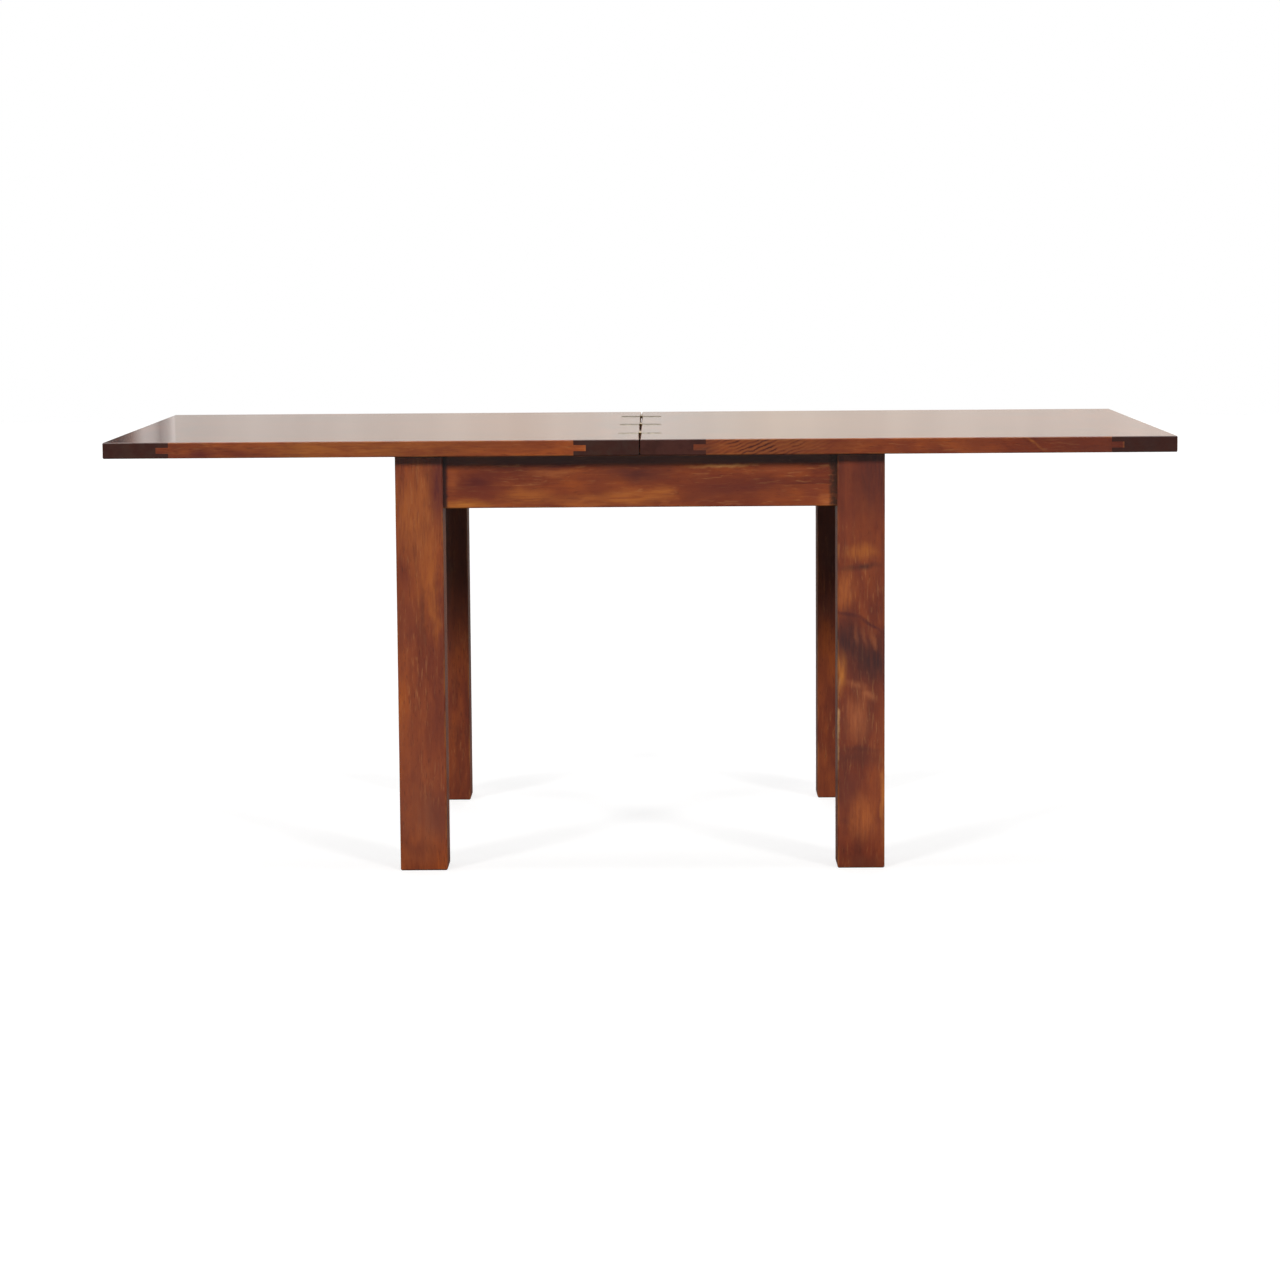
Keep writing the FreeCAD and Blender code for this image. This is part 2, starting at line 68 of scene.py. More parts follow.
forward = Vector((math.sin(ASIDE) * math.cos(DOWN), math.cos(ASIDE) * math.cos(DOWN), -math.sin(DOWN)))
camera = bpy.data.objects.new("camera", bpy.data.cameras.new("camera"))
bpy.context.scene.collection.objects.link(camera)
camera.data.sensor_width = SENSOR
camera.data.lens = FOCAL_PIXELS / FRAME_PIXELS * SENSOR
camera.data.clip_end = 60
camera.location = STANDPOINT
camera.rotation_mode = "QUATERNION"
camera.rotation_quaternion = forward.to_track_quat("-Z", "Y") @ Quaternion((0, 0, 1), TILT)
bpy.context.scene.camera = camera
print(f"lens {camera.data.lens:.1f} mm")

# %% [markdown]
# ## Node helpers
#
# Every finish here is a tree of shader nodes made by a script. A tree is easier to follow
# when one line adds one node, so the first helper takes a node's settings by name and its
# inputs by name or number. An input can be a number or another node's output. The other
# helpers are short names for the steps that come back in every finish: sums, smooth steps,
# colours laid over each other and places taken apart.

# %% Adding a node
def add(tree, kind, given=None, **settings):
    """A new node with its inputs and settings filled in."""
    made = tree.nodes.new(kind)
    for name, value in settings.items():
        setattr(made, name, value)
    for key, value in (given or {}).items():
        if isinstance(value, bpy.types.NodeSocket):
            tree.links.new(value, made.inputs[key])
        else:
            made.inputs[key].default_value = value
    return made


def sums(tree, operation, first, second=0.0):
    """One step of arithmetic."""
    return add(tree, "ShaderNodeMath", {0: first, 1: second}, operation=operation).outputs[0]


def product(tree, first, *others):
    for other in others:
        first = sums(tree, "MULTIPLY", first, other)
    return first


def total(tree, first, *others):
    for other in others:
        first = sums(tree, "ADD", first, other)
    return first


def vector_sums(tree, operation, first, second=(0, 0, 0)):
    """One step of arithmetic on places."""
    given = {0: first, 1: second}
    return add(tree, "ShaderNodeVectorMath", given, operation=operation).outputs[0]


def ease(tree, amount, low, high, start=0.0, end=1.0):
    """A smooth step: start below low, end above high."""
    limits = {"Value": amount, "From Min": low, "From Max": high, "To Min": start, "To Max": end}
    return add(tree, "ShaderNodeMapRange", limits, interpolation_type="SMOOTHSTEP").outputs[0]


def blend(tree, share, below, above):
    """One colour laid over another."""
    given = {0: share, 6: below, 7: above}
    return add(tree, "ShaderNodeMix", given, data_type="RGBA").outputs[2]


def lay(tree, below, above, *shares):
    """One colour laid over another, by shares that are multiplied together."""
    return blend(tree, product(tree, *shares), below, above)


def ramp(tree, amount, stops):
    """A row of colours, read off at an amount from 0 to 1."""
    made = add(tree, "ShaderNodeValToRGB", {0: amount})
    row = made.color_ramp.elements
    while len(row) < len(stops):
        row.new(0.5)
    for element, (position, colour) in zip(row, stops):
        element.position = position
        element.color = colour
    return made.outputs[0]


def coordinates(tree, kind="Object"):
    """The place of the point that is shaded."""
    return add(tree, "ShaderNodeTexCoord").outputs[kind]


def axes(tree, place):
    """The X, Y and Z of a place."""
    return add(tree, "ShaderNodeSeparateXYZ", {0: place}).outputs


# %% [markdown]
# Colours are written as on a paint card, in the hexadecimal code that image editors use.
# A shader reads linear light instead, so a code is converted once, where it is read.

# %% Reading a colour
def shade(code):
    """Linear red, green, blue and alpha for a code such as #7e3b1e."""
    channels = [int(code[start : start + 2], 16) / 255 for start in (1, 3, 5)]
    return [c / 12.92 if c <= 0.04045 else ((c + 0.055) / 1.055) ** 2.4 for c in channels] + [1]


WHITE = shade("#ffffff")

# %% [markdown]
# ## The studio
#
# The table stands on a plain pale floor in front of white. For the camera the floor glows
# a little, which keeps it white without more light on the wood, and the rest of its
# brightness is lit, so the table's soft shadow stays. A reflection sees the floor bright in
# front, which greys the deepest shadows a little, and dark behind: the insides of the
# posts, seen at a flat angle, mirror it there, and the photograph shows their own brown.
# The light that bounces off the floor is cut to less than half, as over a darker studio
# floor, because the photographed shadows are deep. From below the paper is clear, so the
# frame under the top can be looked at.

# %% Floor
def object_from(bm, name):
    """A finished mesh as an object at the origin."""
    mesh = bpy.data.meshes.new(name)
    bm.to_mesh(mesh)
    bm.free()
    made = bpy.data.objects.new(name, mesh)
    bpy.context.scene.collection.objects.link(made)
    return made


def new_material(name):
    """A material and its tree, without nodes."""
    made = bpy.data.materials.new(name)
    made.use_nodes = True
    made.node_tree.nodes.clear()
    return made, made.node_tree


def surface(tree, shader):
    """Let a shader be what a material shows."""
    add(tree, "ShaderNodeOutputMaterial", {"Surface": shader.outputs[0]})


FLOOR_REACH, FLOOR_GLOW = 14, 0.74
LIT_GREY, BOUNCE_GREY = (0.36, 0.36, 0.36, 1), (0.16, 0.16, 0.16, 1)
MIRRORED_FRONT, MIRRORED_BACK = (0.8, 0.8, 0.8, 1), (0.13, 0.12, 0.11, 1)
FRONT_Y, BACK_Y = -0.9, -0.3

plane = bmesh.new()
bmesh.ops.create_grid(plane, x_segments=1, y_segments=1, size=FLOOR_REACH)
floor = object_from(plane, "floor")
paper, tree = new_material("studio_paper")
path = add(tree, "ShaderNodeLightPath").outputs
seen = sums(tree, "MAXIMUM", path["Is Camera Ray"], path["Is Transmission Ray"])
glow = add(tree, "ShaderNodeEmission", {"Color": WHITE, "Strength": product(tree, seen, FLOOR_GLOW)})
backwards = ease(tree, axes(tree, coordinates(tree))["Y"], FRONT_Y, BACK_Y)
mirrored = ramp(tree, backwards, [(0.0, MIRRORED_FRONT), (1.0, MIRRORED_BACK)])
lit = blend(tree, path["Is Diffuse Ray"], LIT_GREY, BOUNCE_GREY)
grey = blend(tree, path["Is Glossy Ray"], lit, mirrored)
matte = add(tree, "ShaderNodeBsdfDiffuse", {"Color": grey})
both = add(tree, "ShaderNodeAddShader", {0: glow.outputs[0], 1: matte.outputs[0]})
clear = add(tree, "ShaderNodeBsdfTransparent")
below = add(tree, "ShaderNodeNewGeometry").outputs["Backfacing"]
surface(tree, add(tree, "ShaderNodeMixShader", {0: below, 1: both.outputs[0], 2: clear.outputs[0]}))
floor.data.materials.append(paper)
print("floor", 2 * FLOOR_REACH, "m across")

# %% [markdown]
# The world is white where it is seen and dim where it only fills the shadows. Polished wood
# shows what stands on the far side of it, so the reflected world is pale towards the back,
# where the paper sweep hangs, and dimmer towards the camera and overhead. The photographed
# sheen is greyest at the left, palest in the middle and warm at the right, and soft upright
# bands run through it, so the sweep here has a row of tints and a few folds.

# %% World
FILL, SWEEP_DIM, SWEEP_PALE = 0.07, 0.5, 0.93
FOLD_SCALE, FOLD_DEPTH, OVERHEAD_SHARE = 42, 0.88, 0.35
TINT_REACH = 0.13
TINTS = [
    (0.0, (0.765, 0.738, 0.69, 1)),
    (0.28, (0.85, 0.76, 0.67, 1)),
    (0.5, (0.89, 0.86, 0.80, 1)),
    (0.68, (0.90, 0.81, 0.705, 1)),
    (1.0, (0.905, 0.825, 0.75, 1)),
]

world = bpy.data.worlds.new("studio_air")
bpy.context.scene.world = world
world.use_nodes = True
tree = world.node_tree
tree.nodes.clear()
x, y, z = axes(tree, coordinates(tree, "Generated"))
across = add(tree, "ShaderNodeCombineXYZ", {0: x}).outputs[0]
given = {"Vector": across, "Scale": FOLD_SCALE, "Detail": 4, "Roughness": 0.6}
folds = add(tree, "ShaderNodeTexNoise", given).outputs[0]
sweep = product(
    tree,
    ease(tree, y, 0.1, 0.6, SWEEP_DIM, SWEEP_PALE),
    ease(tree, folds, 0.3, 0.7, FOLD_DEPTH, 1.0),
    ease(tree, z, 0.15, 0.6, 1.0, OVERHEAD_SHARE),
)
tint = ramp(tree, ease(tree, x, -TINT_REACH, TINT_REACH), TINTS)
path = add(tree, "ShaderNodeLightPath").outputs
glossy = path["Is Glossy Ray"]
seen = sums(tree, "MAXIMUM", path["Is Camera Ray"], path["Is Transmission Ray"])
hidden = sums(tree, "SUBTRACT", 1.0, sums(tree, "MAXIMUM", seen, glossy))
strength = total(tree, seen, product(tree, glossy, sweep), product(tree, hidden, FILL))
colour = blend(tree, glossy, WHITE, tint)
air = add(tree, "ShaderNodeBackground", {"Color": colour, "Strength": strength})
add(tree, "ShaderNodeOutputWorld", {"Surface": air.outputs[0]})
print("world with", len(TINTS), "tints")

# %% [markdown]
# Two broad lamps stand in front, one to each side and as high as the band of shadow under
# the leaves is deep in the photograph. Both insides of the posts are lit there, so each
# side has a low lamp as well. A long strip light overhead draws the fine bright line along
# the top's front edge, and a lamp behind keeps the far side of the table readable when
# somebody walks round it. All lamps but the strip are hidden from reflections, because a
# bare lamp would burn a white spot into the polished top. What the top mirrors is the paler
# world instead, as with soft boxes in a studio.

# %% Lamps
def new_lamp(name, kind, energy, place, target, **settings):
    """A lamp at a place, turned towards a target."""
    data = bpy.data.lights.new(name, kind)
    data.energy = energy
    for key, value in settings.items():
        setattr(data, key, value)
    lamp = bpy.data.objects.new(name, data)
    bpy.context.scene.collection.objects.link(lamp)
    lamp.location = place
    lamp.rotation_mode = "QUATERNION"
    lamp.rotation_quaternion = (Vector(target) - Vector(place)).to_track_quat("-Z", "Y")
    lamp.visible_glossy = kind != "SUN"
    print(name, "with energy", energy)


def sun(name, energy, azimuth, elevation, width, colour, distance=6):
    """A sun round the table: azimuth 0 is in front and 90 to the right, all in degrees."""
    turn, rise = math.radians(azimuth), math.radians(elevation)
    flat = math.cos(rise) * distance
    place = (math.sin(turn) * flat, -math.cos(turn) * flat, math.sin(rise) * distance)
    new_lamp(name, "SUN", energy, place, (0, 0, 0), angle=math.radians(width), color=colour)


WARM, COOL = (1, 0.985, 0.96), (0.97, 0.985, 1)
for side, sign in (("left", -1), ("right", 1)):
    sun(f"front_lamp_{side}", 1.76, sign * 35, 21.8, 10, WARM)
    sun(f"side_lamp_{side}", 0.8, sign * 84, 12, 24, WARM)
sun("back_lamp", 2.2, 184, 28, 60, COOL)
place, target = (0, -0.45, 3.2), (0, -0.45, 0)
new_lamp("strip_lamp", "AREA", 26, place, target, shape="RECTANGLE", size=3.0, size_y=0.45)

# %% [markdown]
# At the far left the photographed top darkens, with one narrow dark stripe: it mirrors the
# edge of the studio there. A flat that only reflections can see stands behind on the left
# and does the same. Its greys run along X, so the stripe falls where the picture has it.

# %% Dark flat behind on the left
FLAT_Y, FLAT_LEFT, FLAT_RIGHT, FLAT_FOOT, FLAT_TOP = 3.0, -4.2, -1.25, 0.02, 2.6
GREYS_START = -1.45
FLAT_GREYS = [(0.0, (0.0, 0.05, 0.06, 1)), (0.25, (0.03, 0.07, 0.08, 1))] + [
    (place, (level, level * 0.96, level * 0.92, 1))
    for place, level in (
        (0.41, 0.20), (0.49, 0.40), (0.58, 0.60), (0.70, 0.57),
        (0.77, 0.44), (0.80, 0.36), (0.85, 0.44), (0.91, 0.53), (0.98, 0.80),
    )
]

panel = bmesh.new()
corners = [(FLAT_LEFT, FLAT_FOOT), (FLAT_RIGHT, FLAT_FOOT), (FLAT_RIGHT, FLAT_TOP), (FLAT_LEFT, FLAT_TOP)]
panel.faces.new([panel.verts.new((x, FLAT_Y, z)) for x, z in corners])
flat = object_from(panel, "dark_flat")
card, tree = new_material("flat_card")
x = axes(tree, coordinates(tree))["X"]
given = {"Value": x, "From Min": GREYS_START, "From Max": FLAT_RIGHT}
share = add(tree, "ShaderNodeMapRange", given).outputs[0]
surface(tree, add(tree, "ShaderNodeEmission", {"Color": ramp(tree, share, FLAT_GREYS), "Strength": 1.0}))
flat.data.materials.append(card)
flat.visible_camera = flat.visible_diffuse = flat.visible_shadow = flat.visible_transmission = False
print("studio ready")

# %% [markdown]
# ## Stained wood
#
# The table is a light hardwood under a chestnut stain. The stain takes unevenly, so broad
# orange and dark red-brown clouds lie over fine streaks, short pores and faint growth
# rings. Wood is solid: one pattern in 3-D, drawn out along the grain, gives long streaks on
# the faces and small dots on the ends for free. That is why the noise here is scaled, and
# not painted on. Object coordinates are the table's own, so each board moves the pattern to
# a different part of it, as if it were sawn from another trunk.

# %% Turning the grain
GRAIN_TURNS = {"X": (0, 0, 0), "Y": (0, 0, -math.pi / 2), "Z": (0, math.pi / 2, 0)}
SEED_STEPS = (1.37, 0.61, 2.23)


def grain_place(tree, place, grain, seed):
    """A place in the piece's own trunk, with X along the grain."""
    steps = tuple(seed * step for step in SEED_STEPS)
    given = {"Vector": place, "Rotation": GRAIN_TURNS[grain], "Location": steps}
    return add(tree, "ShaderNodeMapping", given).outputs[0]


def noise(tree, place, along, across, detail=3, rough=0.55, twist=0.0):
    """Noise drawn out along the grain, by how often it changes in a metre."""
    given = {"Vector": place, "Scale": (along, across, across)}
    spread = add(tree, "ShaderNodeMapping", given).outputs[0]
    given = {"Vector": spread, "Scale": 1.0, "Detail": detail, "Roughness": rough, "Distortion": twist}
    return add(tree, "ShaderNodeTexNoise", given).outputs[0]


def specks(tree, place, scale, detail=3):
    """Noise that is the same in every direction."""
    given = {"Vector": place, "Scale": scale, "Detail": detail}
    return add(tree, "ShaderNodeTexNoise", given).outputs[0]


# %% [markdown]
# The stain's own colour comes first. Three scales of noise, from broad clouds over bands to
# fine streaks, are added up and pick a colour from a row that runs from dark to orange. The
# shares say how much of each is in it, and a tone moves a whole piece along the row.

# %% The stain's colour
STAIN = [
    (0.26, shade("#54251a")),
    (0.40, shade("#6b2e1b")),
    (0.51, shade("#7e3b1e")),
    (0.62, shade("#91471e")),
    (0.78, shade("#a75b28")),
]
CLOUD_SHARE, BAND_SHARE, STREAK_SHARE = 0.56, 0.30, 0.14


def stain_colour(tree, along, tone):
    """The stain's colour, with the bands and the streaks in it."""
    cloud = noise(tree, along, 4.6, 15, detail=4, twist=1.0)
    band = noise(tree, along, 9, 46, detail=4, twist=0.8)
    streak = noise(tree, along, 26, 300, rough=0.6)
    amount = total(
        tree,
        product(tree, cloud, CLOUD_SHARE),
        product(tree, band, BAND_SHARE),
        product(tree, streak, STREAK_SHARE),
        tone,
    )
    return ramp(tree, amount, STAIN), band, streak


# %% [markdown]
# The wood itself shows through the stain: the late part of each growth ring is a little
# darker, open pores are dark specks, and short light flecks shine in places. Last come
# broad clouds where the stain was wiped off too late. A smooth step cuts each noise off,
# because real pores and flecks have edges.

# %% Rings, pores and flecks
PORE = shade("#2c1512")
DARK_STAIN = shade("#4a2019")
FLECK = shade("#c08552")
FLECKS = 0.20


def wood_figure(tree, along, colour, flecks):
    """The figure of the wood laid over a colour, and where the pores are."""
    given = {"Vector": along, "Location": (0, 0.31, 0.17), "Scale": (0.08, 1, 1)}
    heart = add(tree, "ShaderNodeMapping", given).outputs[0]
    given = {"Vector": heart, "Scale": 24, "Distortion": 6.0, "Detail": 3, "Detail Scale": 1.2}
    rings = add(tree, "ShaderNodeTexWave", given, wave_type="RINGS", rings_direction="X").outputs[1]
    colour = lay(tree, colour, DARK_STAIN, ease(tree, rings, 0.6, 0.98), 0.10)

    pores = ease(tree, noise(tree, along, 70, 900, detail=2), 0.60, 0.70)
    colour = lay(tree, colour, PORE, pores, 0.5)
    fleck = ease(tree, noise(tree, along, 34, 330, twist=0.7), 0.54, 0.70)
    shining = ease(tree, noise(tree, along, 7, 20), 0.42, 0.60)
    colour = lay(tree, colour, FLECK, fleck, shining, flecks)

    late = ease(tree, noise(tree, along, 5, 11, detail=5, rough=0.62, twist=1.2), 0.52, 0.68)
    return lay(tree, colour, DARK_STAIN, late, 0.34), pores


# %% [markdown]
# The real table's swirls, pale streaks and blots are laid on as marks. Each is a soft oval
# on the front face of a piece. Noise loosens its outline and the streaks break it up, so it
# looks grown and not stamped. One row of numbers to a mark keeps the tables short.

# %% Marks
MARK_DEPTH, WANDER = 0.08, 0.02


def patch(tree, place, centre, reach, lean=0):
    """1 at a centre, fading to 0 at the reach along each axis, tipped about Y by some degrees."""
    given = {"Vector": place, "Location": centre, "Scale": reach, "Rotation": (0, -math.radians(lean), 0)}
    near = add(tree, "ShaderNodeMapping", given, vector_type="TEXTURE").outputs[0]
    far = add(tree, "ShaderNodeVectorMath", {0: near}, operation="LENGTH").outputs["Value"]
    return ease(tree, far, 1.0, 0.0)


def loosened(tree, place, along):
    """A place moved about a little by noise."""
    given = {"Vector": along, "Scale": 26, "Detail": 4}
    wander = add(tree, "ShaderNodeTexNoise", given).outputs[1]
    given = {0: vector_sums(tree, "SUBTRACT", wander, (0.5, 0.5, 0.5)), "Scale": WANDER}
    wander = add(tree, "ShaderNodeVectorMath", given, operation="SCALE").outputs[0]
    return vector_sums(tree, "ADD", place, wander)


def marked(tree, loose, colour, feather, front, depth, marks):
    """Marks on a front face laid over a colour."""
    for x, z, wide, tall, lean, code, strength, *own_depth in marks:
        reach = (wide, *(own_depth or [depth]), tall)
        spot = patch(tree, loose, (x, front, z), reach, lean)
        colour = lay(tree, colour, shade(code), spot, feather, strength)
    return colour


# %% [markdown]
# Handling rubs the stain off the arrises, and the ends of a board soak up more of it. Both
# depend on how far a point is from the piece's faces. The piece's own box gives that: of
# the three depths under its faces, the middle one is the distance to the nearest edge.

# %% Edges and ends
RUBBED = shade("#b07038")
END_STAIN = "#33201a"


def depths(tree, place, low, high):
    """How deep a place lies under the faces of a box, along X, Y and Z."""
    size = vector_sums(tree, "ABSOLUTE", vector_sums(tree, "SUBTRACT", place, (low + high) / 2))
    return list(axes(tree, vector_sums(tree, "SUBTRACT", (high - low) / 2, size)))


def edge_distance(tree, under):
    """The middle one of three depths."""
    least = sums(tree, "MINIMUM", sums(tree, "MINIMUM", under[0], under[1]), under[2])
    most = sums(tree, "MAXIMUM", sums(tree, "MAXIMUM", under[0], under[1]), under[2])
    return sums(tree, "SUBTRACT", sums(tree, "SUBTRACT", total(tree, *under), least), most)


def worn_edges(tree, along, colour, edge):
    """The stain rubbed off here and there along the edges."""
    broken = ease(tree, noise(tree, along, 18, 60), 0.42, 0.62)
    return lay(tree, colour, RUBBED, ease(tree, edge, 0.0034, 0.0008), broken, 0.3)


def end_grain(tree, along, colour, cut, code, share):
    """The thirsty ends of a piece."""
    thirst = ease(tree, noise(tree, along, 30, 45, detail=4, twist=0.6), 0.35, 0.65)
    return lay(tree, colour, blend(tree, thirst, PORE, shade(code)), cut, share)


# %% [markdown]
# The whole finish lays these over each other in the order in which they came about. The
# roughness and the bump read the same streaks and pores as the colour, so the shine breaks
# up where the colour does. A thin clear coat over it is the lacquer. The leaves' upper faces
# have more of it than their undersides and narrow edges.

# %% Stained wood
THIN_COAT = 0.34
UPPER_FACE, UPPER_EDGE = 0.0004, 0.0012


def stained_wood(name, grain, low, high, seed, **look):
    """A wood finish for one piece, with these looks where they are given:

    marks: (x, z, half width, half height, lean in degrees, colour, strength) on the front
        face, and last how far back the mark reaches, where it differs
    mark_depth: how far back the piece's marks reach
    layers: shifts the pattern where strips are glued together
    tone: moves the whole piece along the row of stains
    end: the end grain's colour and how much it covers
    coat: how much lacquer it has
    top_coat: how much of it the upper face has instead
    flecks: how clearly its fine light flecks show
    extra: lays a figure of the piece's own over the colour
    """
    made, tree = new_material(name)
    place = coordinates(tree)
    along = grain_place(tree, place, grain, seed)
    if "layers" in look:
        along = vector_sums(tree, "ADD", along, look["layers"](tree, place))
    colour, band, streak = stain_colour(tree, along, look.get("tone", 0))
    colour, pores = wood_figure(tree, along, colour, look.get("flecks", FLECKS))

    if "marks" in look:
        loose = loosened(tree, place, along)
        feather = ease(tree, total(tree, streak, band), 0.75, 1.2, 0.45, 1.0)
        depth = look.get("mark_depth", MARK_DEPTH)
        colour = marked(tree, loose, colour, feather, low[1], depth, look["marks"])
    if "extra" in look:
        colour = look["extra"](tree, place, colour)

    under = depths(tree, place, low, high)
    colour = worn_edges(tree, along, colour, edge_distance(tree, under))
    cut = ease(tree, under["XYZ".index(grain)], 0.0022, 0.0006)
    colour = end_grain(tree, along, colour, cut, *look.get("end", (END_STAIN, 0.9)))

    relief = sums(tree, "SUBTRACT", product(tree, streak, 0.5), pores)
    bump = add(tree, "ShaderNodeBump", {"Strength": 0.3, "Distance": 0.0004, "Height": relief}).outputs[0]
    streaky = ease(tree, streak, 0.3, 0.7, 0.42, 0.56)
    dull = total(tree, streaky, product(tree, pores, 0.2), product(tree, cut, 0.12))
    coat = look.get("coat", THIN_COAT)
    if "top_coat" in look:
        height = axes(tree, place)["Z"]
        coat = ease(tree, height, high[2] - UPPER_EDGE, high[2] - UPPER_FACE, coat, look["top_coat"])
    given = {
        "Base Color": colour,
        "Roughness": dull,
        "Normal": bump,
        "Specular IOR Level": 0.1,
        "Coat Weight": coat,
        "Coat Roughness": 0.07,
        "Coat IOR": 1.45,
    }
    surface(tree, add(tree, "ShaderNodeBsdfPrincipled", given))
    return made


def dress(node, material):
    """Give a CAD node one finish."""
    mesh = nodes[node].data
    mesh.materials.clear()
    mesh.materials.append(material)


# %% [markdown]
# ## The leaves
#
# Each leaf is seven edge-glued boards with a cleat across each end. Boards from different
# trunks lie side by side, so each gets its own shift of the pattern and a slightly different
# tone. Only the front boards show in the photograph, and they have its marks. In the front
# edge of the right one the grain also runs out in fine slanted lines, which are bands of a
# wave tipped by a few degrees.

# %% Boards
TOP_COAT = 0.9
BOARD_TONES = (0.02, -0.03, 0.01, -0.015, 0.03, -0.02, 0.0)
FRONT_MARKS = {
    "left": [
        (-0.440, 0.728, 0.420, 0.040, 0, "#96582a", 0.55, 0.016),
        (-0.736, 0.714, 0.044, 0.018, 0, "#55221c", 0.95),
        (-0.669, 0.713, 0.030, 0.014, 0, "#5f281d", 0.85),
        (-0.560, 0.722, 0.080, 0.020, 0, "#a06029", 0.5),
        (-0.440, 0.722, 0.060, 0.018, 0, "#9c5a28", 0.5),
        (-0.240, 0.731, 0.120, 0.008, 0, "#74391f", 0.6),
    ],
    "right": [
        (0.655, 0.728, 0.060, 0.004, -28, "#a0602c", 0.6, 0.012),
        (0.443, 0.720, 0.024, 0.022, 0, "#632a1e", 0.7),
        (0.494, 0.718, 0.028, 0.014, 0, "#672f1f", 0.6),
        (0.360, 0.722, 0.060, 0.020, 0, "#8c4d26", 0.4),
        (0.560, 0.722, 0.060, 0.024, 0, "#6e3421", 0.6),
        (0.760, 0.720, 0.120, 0.034, 0, "#55261d", 0.85),
        (0.804, 0.722, 0.040, 0.030, 0, "#4f2019", 0.8),
        (0.104, 0.722, 0.040, 0.030, 0, "#522b20", 0.95),
        (0.220, 0.722, 0.150, 0.040, 0, "#643822", 0.75),
    ],
}


RUNOUT_DARK, RUNOUT_LIGHT = shade("#351a17"), shade("#a0622d")


def slanted_grain(tree, place, colour):
    """Fine dark lines that rise to the right across the front edge, where the grain runs out."""
    given = {"Vector": place, "Rotation": (0, math.radians(21), 0)}
    tipped = add(tree, "ShaderNodeMapping", given).outputs[0]
    given = {"Vector": tipped, "Scale": 52, "Distortion": 6, "Detail": 4, "Detail Scale": 0.8}
    bands = add(tree, "ShaderNodeTexWave", given, wave_type="BANDS", bands_direction="Z").outputs[1]
    near = patch(tree, place, (0.200, -0.45, 0.722), (0.150, 0.012, 0.060))
    broken = ease(tree, specks(tree, place, 42), 0.35, 0.6)
    colour = lay(tree, colour, RUNOUT_LIGHT, ease(tree, bands, 0.35, 0.1), near, 0.22)
    return lay(tree, colour, RUNOUT_DARK, ease(tree, bands, 0.66, 0.94), near, broken, 0.95)


for side, lift, start in (("left", 0.0, 0), ("right", -0.065, 23.1)):
    for index, tone in enumerate(BOARD_TONES, 1):
        node = f"{side}_leaf_board_{index}"
        seed = index * 1.7 + start
        look = {"tone": tone + lift, "end": (END_STAIN, 0.2), "top_coat": TOP_COAT}
        if index == 1:
            look |= {"marks": FRONT_MARKS[side], "mark_depth": 0.030}
            if side == "right":
                look["extra"] = slanted_grain
        dress(node, stained_wood(f"wood_{node}", "X", *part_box(node), seed, **look))
print(2 * len(BOARD_TONES), "boards dressed")

# %% [markdown]
# A cleat lies across the boards' ends and keeps the leaf flat. Its own end grain faces the
# front, where it soaked up so much stain that it shows as a dark block, each in a slightly
# different brown. The inner cleats have the two faces that meet at the seam. Those faces and
# a sliver of the top beside them get painted shade, for the dark gap between the leaves.

# %% Cleats
CLEAT_ENDS = {
    "left_leaf_inner_cleat": "#2e1e1a",
    "left_leaf_outer_cleat": "#33201b",
    "right_leaf_inner_cleat": "#3a1e1a",
    "right_leaf_outer_cleat": "#2b1917",
}
SEAM_FACE, SEAM_DEPTH = 0.0012, 0.0016


def seam_painted_shade(tree, place, colour):
    """Painted shade on the faces where the two leaves meet, and on a sliver of the top beside them."""
    away = sums(tree, "ABSOLUTE", axes(tree, place)["X"])
    # The near-black on the seam faces is painted shade for the gap.
    return blend(tree, ease(tree, away, SEAM_DEPTH, SEAM_FACE, 0.0, 0.85), colour, shade("#201412"))


for index, (node, code) in enumerate(CLEAT_ENDS.items()):
    look = {"tone": -0.02, "end": (code, 0.94), "top_coat": TOP_COAT}
    if "inner" in node:
        look["extra"] = seam_painted_shade
    dress(node, stained_wood(f"wood_{node}", "Y", *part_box(node), 41.3 + index * 3.9, **look))
print(len(CLEAT_ENDS), "cleats dressed")
